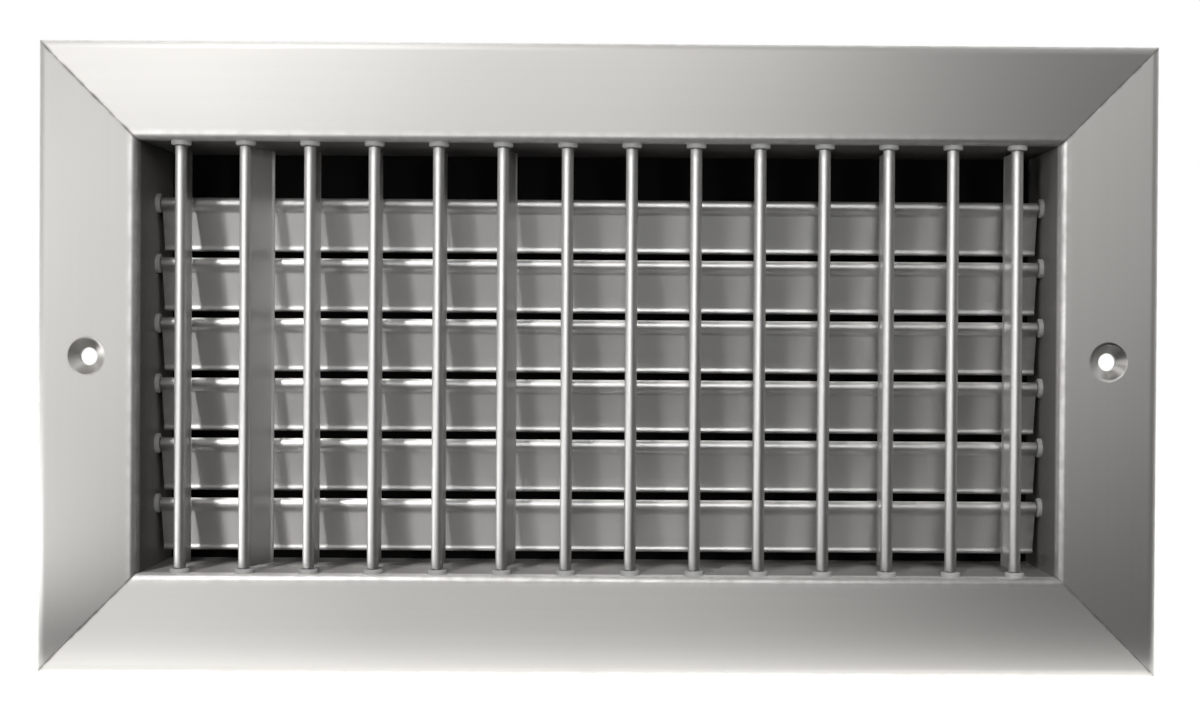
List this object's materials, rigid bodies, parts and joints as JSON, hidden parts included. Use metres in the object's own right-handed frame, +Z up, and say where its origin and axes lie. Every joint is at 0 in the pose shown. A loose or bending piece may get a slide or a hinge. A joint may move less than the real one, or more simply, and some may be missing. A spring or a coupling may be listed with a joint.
{
  "type": "double deflection supply grille",
  "caption": "Wall supply air grille: a mitred extruded frame with upright front blades and level rear blades, each turned by hand on its own pivots to steer the air.",
  "frame": {"origin": "midway between the two screw holes, in the plane of the wall that the flange lies against", "axes": "+X along the length, +Z up, +Y into the wall, so the face looks to -Y"},
  "size_m": [0.35, 0.046, 0.1976],
  "materials": {
    "frame_satin": "satin brushed along each rail, clear anodised",
    "blade_satin": "satin, drawn along the blade, clear anodised",
    "key_plate": "mill finish",
    "bush_nylon": "moulded grey nylon",
    "pin_steel": "drawn wire"
  },
  "bodies": {
    "frame": {"frame_top": "frame_satin", "frame_bottom": "frame_satin", "frame_left": "frame_satin", "frame_right": "frame_satin", "corner_key_top_left": "key_plate", "corner_key_top_right": "key_plate", "corner_key_bottom_left": "key_plate", "corner_key_bottom_right": "key_plate", "front_bushes_top": "bush_nylon", "front_bushes_bottom": "bush_nylon", "rear_bushes_left": "bush_nylon", "rear_bushes_right": "bush_nylon"},
    "front_blade_01": {"front_blade_01": "blade_satin", "front_blade_01_pins": "pin_steel"},
    "front_blade_02": {"front_blade_02": "blade_satin", "front_blade_02_pins": "pin_steel"},
    "front_blade_03": {"front_blade_03": "blade_satin", "front_blade_03_pins": "pin_steel"},
    "front_blade_04": {"front_blade_04": "blade_satin", "front_blade_04_pins": "pin_steel"},
    "front_blade_05": {"front_blade_05": "blade_satin", "front_blade_05_pins": "pin_steel"},
    "front_blade_06": {"front_blade_06": "blade_satin", "front_blade_06_pins": "pin_steel"},
    "front_blade_07": {"front_blade_07": "blade_satin", "front_blade_07_pins": "pin_steel"},
    "front_blade_08": {"front_blade_08": "blade_satin", "front_blade_08_pins": "pin_steel"},
    "front_blade_09": {"front_blade_09": "blade_satin", "front_blade_09_pins": "pin_steel"},
    "front_blade_10": {"front_blade_10": "blade_satin", "front_blade_10_pins": "pin_steel"},
    "front_blade_11": {"front_blade_11": "blade_satin", "front_blade_11_pins": "pin_steel"},
    "front_blade_12": {"front_blade_12": "blade_satin", "front_blade_12_pins": "pin_steel"},
    "front_blade_13": {"front_blade_13": "blade_satin", "front_blade_13_pins": "pin_steel"},
    "front_blade_14": {"front_blade_14": "blade_satin", "front_blade_14_pins": "pin_steel"},
    "rear_blade_1": {"rear_blade_1": "blade_satin", "rear_blade_1_pins": "pin_steel"},
    "rear_blade_2": {"rear_blade_2": "blade_satin", "rear_blade_2_pins": "pin_steel"},
    "rear_blade_3": {"rear_blade_3": "blade_satin", "rear_blade_3_pins": "pin_steel"},
    "rear_blade_4": {"rear_blade_4": "blade_satin", "rear_blade_4_pins": "pin_steel"},
    "rear_blade_5": {"rear_blade_5": "blade_satin", "rear_blade_5_pins": "pin_steel"},
    "rear_blade_6": {"rear_blade_6": "blade_satin", "rear_blade_6_pins": "pin_steel"}
  },
  "joints": [
    {"name": "front_blade_01_turn", "type": "hinge", "parent": "frame", "child": "front_blade_01", "pos_m": [-0.1313, 0.0002, 0], "axis": [0, 0, -1], "range_deg": [-32, 40]},
    {"name": "front_blade_02_turn", "type": "hinge", "parent": "frame", "child": "front_blade_02", "pos_m": [-0.1111, 0.0002, 0], "axis": [0, 0, -1], "range_deg": [-58, 14]},
    {"name": "front_blade_03_turn", "type": "hinge", "parent": "frame", "child": "front_blade_03", "pos_m": [-0.0909, 0.0002, 0], "axis": [0, 0, -1], "range_deg": [-36, 36]},
    {"name": "front_blade_04_turn", "type": "hinge", "parent": "frame", "child": "front_blade_04", "pos_m": [-0.0707, 0.0002, 0], "axis": [0, 0, -1], "range_deg": [-35, 37]},
    {"name": "front_blade_05_turn", "type": "hinge", "parent": "frame", "child": "front_blade_05", "pos_m": [-0.0505, 0.0002, 0], "axis": [0, 0, -1], "range_deg": [-37, 35]},
    {"name": "front_blade_06_turn", "type": "hinge", "parent": "frame", "child": "front_blade_06", "pos_m": [-0.0303, 0.0002, 0], "axis": [0, 0, -1], "range_deg": [-46, 26]},
    {"name": "front_blade_07_turn", "type": "hinge", "parent": "frame", "child": "front_blade_07", "pos_m": [-0.0101, 0.0002, 0], "axis": [0, 0, -1], "range_deg": [-36, 36]},
    {"name": "front_blade_08_turn", "type": "hinge", "parent": "frame", "child": "front_blade_08", "pos_m": [0.0101, 0.0002, 0], "axis": [0, 0, -1], "range_deg": [-37, 35]},
    {"name": "front_blade_09_turn", "type": "hinge", "parent": "frame", "child": "front_blade_09", "pos_m": [0.0303, 0.0002, 0], "axis": [0, 0, -1], "range_deg": [-36, 36]},
    {"name": "front_blade_10_turn", "type": "hinge", "parent": "frame", "child": "front_blade_10", "pos_m": [0.0505, 0.0002, 0], "axis": [0, 0, -1], "range_deg": [-36, 36]},
    {"name": "front_blade_11_turn", "type": "hinge", "parent": "frame", "child": "front_blade_11", "pos_m": [0.0707, 0.0002, 0], "axis": [0, 0, -1], "range_deg": [-38, 34]},
    {"name": "front_blade_12_turn", "type": "hinge", "parent": "frame", "child": "front_blade_12", "pos_m": [0.0909, 0.0002, 0], "axis": [0, 0, -1], "range_deg": [-36, 36]},
    {"name": "front_blade_13_turn", "type": "hinge", "parent": "frame", "child": "front_blade_13", "pos_m": [0.1111, 0.0002, 0], "axis": [0, 0, -1], "range_deg": [-43, 29]},
    {"name": "front_blade_14_turn", "type": "hinge", "parent": "frame", "child": "front_blade_14", "pos_m": [0.1313, 0.0002, 0], "axis": [0, 0, -1], "range_deg": [-35, 37]},
    {"name": "rear_blade_1_turn", "type": "hinge", "parent": "frame", "child": "rear_blade_1", "pos_m": [0, 0.0205, 0.04975], "axis": [1, 0, 0], "range_deg": [-9.5, 102.5]},
    {"name": "rear_blade_2_turn", "type": "hinge", "parent": "frame", "child": "rear_blade_2", "pos_m": [0, 0.0205, 0.03025], "axis": [1, 0, 0], "range_deg": [-9.5, 102.5]},
    {"name": "rear_blade_3_turn", "type": "hinge", "parent": "frame", "child": "rear_blade_3", "pos_m": [0, 0.0205, 0.01075], "axis": [1, 0, 0], "range_deg": [-9.5, 102.5]},
    {"name": "rear_blade_4_turn", "type": "hinge", "parent": "frame", "child": "rear_blade_4", "pos_m": [0, 0.0205, -0.00875], "axis": [1, 0, 0], "range_deg": [-9.5, 102.5]},
    {"name": "rear_blade_5_turn", "type": "hinge", "parent": "frame", "child": "rear_blade_5", "pos_m": [0, 0.0205, -0.02825], "axis": [1, 0, 0], "range_deg": [-9.5, 102.5]},
    {"name": "rear_blade_6_turn", "type": "hinge", "parent": "frame", "child": "rear_blade_6", "pos_m": [0, 0.0205, -0.04775], "axis": [1, 0, 0], "range_deg": [-9.5, 102.5]}
  ]
}
